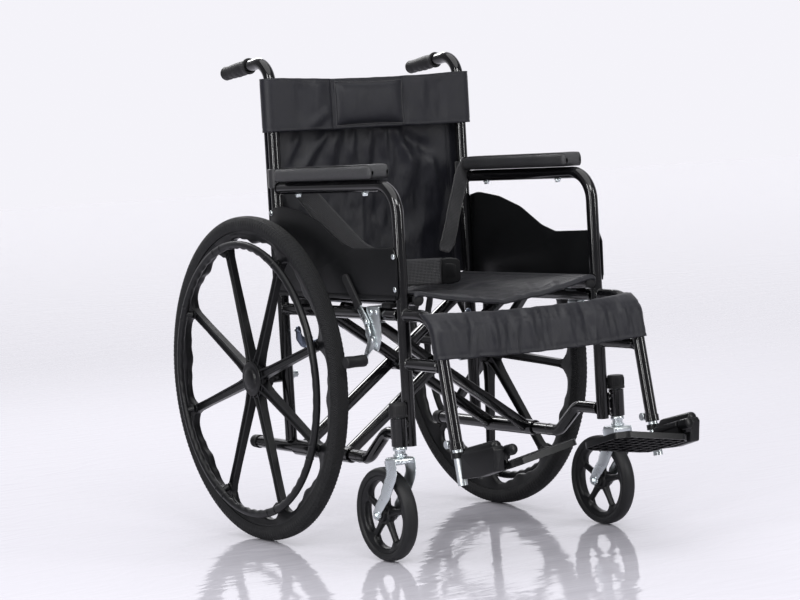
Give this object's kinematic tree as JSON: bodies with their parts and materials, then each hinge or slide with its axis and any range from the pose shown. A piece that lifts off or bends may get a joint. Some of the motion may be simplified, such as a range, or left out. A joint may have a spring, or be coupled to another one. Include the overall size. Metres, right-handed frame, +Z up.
{
  "type": "folding manual wheelchair",
  "caption": "Folding manual wheelchair with a tubular cross brace frame, sling seat and back, moulded rear wheels with handrims, swivel casters, padded armrests and footrests.",
  "frame": {"origin": "on the floor under the middle of the bounding box", "axes": "+Z up; the chair faces -Y, so +Y runs rearwards along its length and +X points to the user's left"},
  "size_m": [0.598, 1.006, 0.9049],
  "materials": {
    "gloss_black_frame": "gloss black powder coat on steel tube",
    "grip_plastic": "matte black moulded plastic",
    "panel_plastic": "satin black moulded plastic",
    "wheel_nylon": "satin black glass-filled nylon",
    "pad_urethane": "textured black urethane foam skin",
    "tyre_rubber": "solid black tyre with a fine tread",
    "zinc_steel": "bright zinc plated steel",
    "chrome_tube": "plated adjusting tube",
    "black_nylon": "coated woven black nylon with sewn seams",
    "webbing": "woven black belt webbing"
  },
  "bodies": {
    "right_frame": {"right_back_cane": "gloss_black_frame", "right_arm_tube": "gloss_black_frame", "right_seat_rail": "gloss_black_frame", "right_lower_rail": "gloss_black_frame", "right_hanger": "gloss_black_frame", "right_hand_grip": "grip_plastic", "right_tip_cap": "grip_plastic", "right_arm_pad": "pad_urethane", "right_side_panel": "panel_plastic", "right_brake_bracket": "zinc_steel", "right_axle": "zinc_steel"},
    "lap_belt": {"right_lap_belt": "webbing", "belt_buckle": "panel_plastic"},
    "left_frame": {"left_back_cane": "gloss_black_frame", "left_arm_tube": "gloss_black_frame", "left_seat_rail": "gloss_black_frame", "left_lower_rail": "gloss_black_frame", "left_hanger": "gloss_black_frame", "left_hand_grip": "grip_plastic", "left_tip_cap": "grip_plastic", "left_arm_pad": "pad_urethane", "left_side_panel": "panel_plastic", "left_brake_bracket": "zinc_steel", "left_axle": "zinc_steel", "left_lap_belt": "webbing"},
    "lower_right_brace": {"lower_right_cross_brace": "gloss_black_frame", "brace_pivot_rod": "zinc_steel"},
    "lower_left_brace": {"lower_left_cross_brace": "gloss_black_frame"},
    "right_seat": {"right_seat_half": "black_nylon"},
    "right_back": {"right_back_half": "black_nylon"},
    "right_calf": {"right_calf_strap": "black_nylon"},
    "right_link": {"right_guide_link": "zinc_steel"},
    "right_rear_wheel": {"right_wheel": "wheel_nylon", "right_tyre": "tyre_rubber", "right_hub_cap": "wheel_nylon", "right_handrim": "wheel_nylon"},
    "right_caster_swivel_fork": {"right_caster_fork": "zinc_steel"},
    "right_caster_roller": {"right_caster_wheel": "wheel_nylon", "right_caster_tyre": "tyre_rubber"},
    "right_brake_handle": {"right_brake_lever": "panel_plastic"},
    "right_brake_arm": {"right_brake_shoe": "grip_plastic"},
    "right_leg_rest": {"right_foot_tube": "chrome_tube", "right_foot_bracket": "panel_plastic"},
    "right_plate": {"right_footplate": "panel_plastic"},
    "left_seat": {"left_seat_half": "black_nylon"},
    "left_back": {"left_back_half": "black_nylon"},
    "left_calf": {"left_calf_strap": "black_nylon"},
    "left_link": {"left_guide_link": "zinc_steel"},
    "left_rear_wheel": {"left_wheel": "wheel_nylon", "left_tyre": "tyre_rubber", "left_hub_cap": "wheel_nylon", "left_handrim": "wheel_nylon"},
    "left_caster_swivel_fork": {"left_caster_fork": "zinc_steel"},
    "left_caster_roller": {"left_caster_wheel": "wheel_nylon", "left_caster_tyre": "tyre_rubber"},
    "left_brake_handle": {"left_brake_lever": "panel_plastic"},
    "left_brake_arm": {"left_brake_shoe": "grip_plastic"},
    "left_leg_rest": {"left_foot_tube": "chrome_tube", "left_foot_bracket": "panel_plastic"},
    "left_plate": {"left_footplate": "panel_plastic"}
  },
  "joints": [
    {"name": "fold", "type": "hinge", "parent": "right_frame", "child": "lower_right_brace", "pos_m": [-0.2135, 0.062, 0.172], "axis": [0, -1, 0], "range_deg": [0, 42]},
    {"name": "brace_pivot", "type": "hinge", "parent": "lower_right_brace", "child": "lower_left_brace", "pos_m": [0, 0.062, 0.31], "axis": [0, -1, 0], "range_deg": [-84.5, 0.5]},
    {"name": "left_frame_shift", "type": "hinge", "parent": "lower_left_brace", "child": "left_frame", "pos_m": [0.2135, 0.062, 0.172], "axis": [0, -1, 0], "range_deg": [-0.5, 42.5]},
    {"name": "seat_right_fold", "type": "hinge", "parent": "lower_left_brace", "child": "right_seat", "pos_m": [-0.19, -0.046, 0.457], "axis": [0, -1, 0], "range_deg": [-0.5, 124.69], "deforming": ["right_seat_half"]},
    {"name": "seat_mid_fold", "type": "hinge", "parent": "right_seat", "child": "left_seat", "pos_m": [0, -0.043, 0.441], "axis": [0, -1, 0], "range_deg": [-164.89, 0.5], "deforming": ["left_seat_half"]},
    {"name": "back_right_fold", "type": "hinge", "parent": "right_frame", "child": "right_back", "pos_m": [-0.2135, 0.176, 0.66], "axis": [0, 0, 1], "range_deg": [-0.5, 72.4], "deforming": ["right_back_half"]},
    {"name": "back_mid_fold", "type": "hinge", "parent": "right_back", "child": "left_back", "pos_m": [0, 0.176, 0.66], "axis": [0, 0, 1], "range_deg": [-144.31, 0.5], "deforming": ["left_back_half"]},
    {"name": "calf_right_fold", "type": "hinge", "parent": "right_frame", "child": "right_calf", "pos_m": [-0.2135, -0.342, 0.4], "axis": [0, 0, 1], "range_deg": [-0.5, 75.34], "deforming": ["right_calf_strap"]},
    {"name": "calf_mid_fold", "type": "hinge", "parent": "right_calf", "child": "left_calf", "pos_m": [0, -0.353, 0.4], "axis": [0, 0, 1], "range_deg": [-150.19, 0.5], "deforming": ["left_calf_strap"]},
    {"name": "belt_swing", "type": "hinge", "parent": "right_frame", "child": "lap_belt", "pos_m": [-0.198, 0.154, 0.56], "axis": [0, 0, -1], "range_deg": [-0.5, 59.09], "deforming": ["right_lap_belt"]},
    {"name": "right_link_swing", "type": "hinge", "parent": "right_frame", "child": "right_link", "pos_m": [-0.2065, 0.157, 0.3855], "axis": [0, -1, 0], "range_deg": [-0.5, 79.46]},
    {"name": "right_plate_fold", "type": "hinge", "parent": "right_leg_rest", "child": "right_plate", "pos_m": [-0.19, -0.442, 0.204], "axis": [0, -0.9659, 0.2588], "range_deg": [-0.5, 80.51]},
    {"name": "left_link_swing", "type": "hinge", "parent": "left_frame", "child": "left_link", "pos_m": [0.2065, 0.157, 0.3855], "axis": [0, 1, 0], "range_deg": [-0.5, 79.46]},
    {"name": "left_plate_fold", "type": "hinge", "parent": "left_leg_rest", "child": "left_plate", "pos_m": [0.19, -0.442, 0.204], "axis": [0, 0.9659, -0.2588], "range_deg": [-0.5, 80.51]},
    {"name": "right_wheel_spin", "type": "hinge", "parent": "right_frame", "child": "right_rear_wheel", "pos_m": [-0.2685, 0.198, 0.305], "axis": [1, 0, 0], "continuous": true},
    {"name": "right_caster_swivel", "type": "hinge", "parent": "right_frame", "child": "right_caster_swivel_fork", "pos_m": [-0.241, -0.236, 0.27], "axis": [0, 0, 1], "continuous": true},
    {"name": "right_caster_spin", "type": "hinge", "parent": "right_caster_swivel_fork", "child": "right_caster_roller", "pos_m": [-0.241, -0.183, 0.083], "axis": [1, 0, 0], "continuous": true},
    {"name": "right_brake", "type": "hinge", "parent": "right_frame", "child": "right_brake_handle", "pos_m": [-0.231, -0.137, 0.419], "axis": [1, 0, 0], "range_deg": [0, 50]},
    {"name": "right_brake_arm_swing", "type": "hinge", "parent": "right_frame", "child": "right_brake_arm", "pos_m": [-0.231, -0.152, 0.386], "axis": [1, 0, 0], "range_deg": [-0.5, 22.5]},
    {"name": "right_footrest_height", "type": "slide", "parent": "right_frame", "child": "right_leg_rest", "axis": [0, -0.1867, -0.9824], "range_m": [0, 0.08]},
    {"name": "left_wheel_spin", "type": "hinge", "parent": "left_frame", "child": "left_rear_wheel", "pos_m": [0.2685, 0.198, 0.305], "axis": [1, 0, 0], "continuous": true},
    {"name": "left_caster_swivel", "type": "hinge", "parent": "left_frame", "child": "left_caster_swivel_fork", "pos_m": [0.241, -0.236, 0.27], "axis": [0, 0, 1], "continuous": true},
    {"name": "left_caster_spin", "type": "hinge", "parent": "left_caster_swivel_fork", "child": "left_caster_roller", "pos_m": [0.241, -0.183, 0.083], "axis": [1, 0, 0], "continuous": true},
    {"name": "left_brake", "type": "hinge", "parent": "left_frame", "child": "left_brake_handle", "pos_m": [0.231, -0.137, 0.419], "axis": [1, 0, 0], "range_deg": [0, 50]},
    {"name": "left_brake_arm_swing", "type": "hinge", "parent": "left_frame", "child": "left_brake_arm", "pos_m": [0.231, -0.152, 0.386], "axis": [1, 0, 0], "range_deg": [-0.5, 22.5]},
    {"name": "left_footrest_height", "type": "slide", "parent": "left_frame", "child": "left_leg_rest", "axis": [0, -0.1867, -0.9824], "range_m": [0, 0.08]}
  ],
  "couplings": [
    {"joint": "brace_pivot", "follows": "fold", "ratio": -2},
    {"joint": "left_frame_shift", "follows": "fold", "ratio": 1},
    {"joint": "seat_right_fold", "follows": "fold", "ratio": 2.957},
    {"joint": "seat_mid_fold", "follows": "fold", "ratio": -3.914},
    {"joint": "back_right_fold", "follows": "fold", "ratio": 1.712},
    {"joint": "back_mid_fold", "follows": "fold", "ratio": -3.424},
    {"joint": "calf_right_fold", "follows": "fold", "ratio": 1.782},
    {"joint": "calf_mid_fold", "follows": "fold", "ratio": -3.564},
    {"joint": "belt_swing", "follows": "fold", "ratio": 1.395},
    {"joint": "right_link_swing", "follows": "fold", "ratio": 1.88},
    {"joint": "right_plate_fold", "follows": "fold", "ratio": 1.905},
    {"joint": "left_link_swing", "follows": "fold", "ratio": 1.88},
    {"joint": "left_plate_fold", "follows": "fold", "ratio": 1.905},
    {"joint": "right_brake_arm_swing", "follows": "right_brake", "ratio": 0.44},
    {"joint": "left_brake_arm_swing", "follows": "left_brake", "ratio": 0.44}
  ]
}
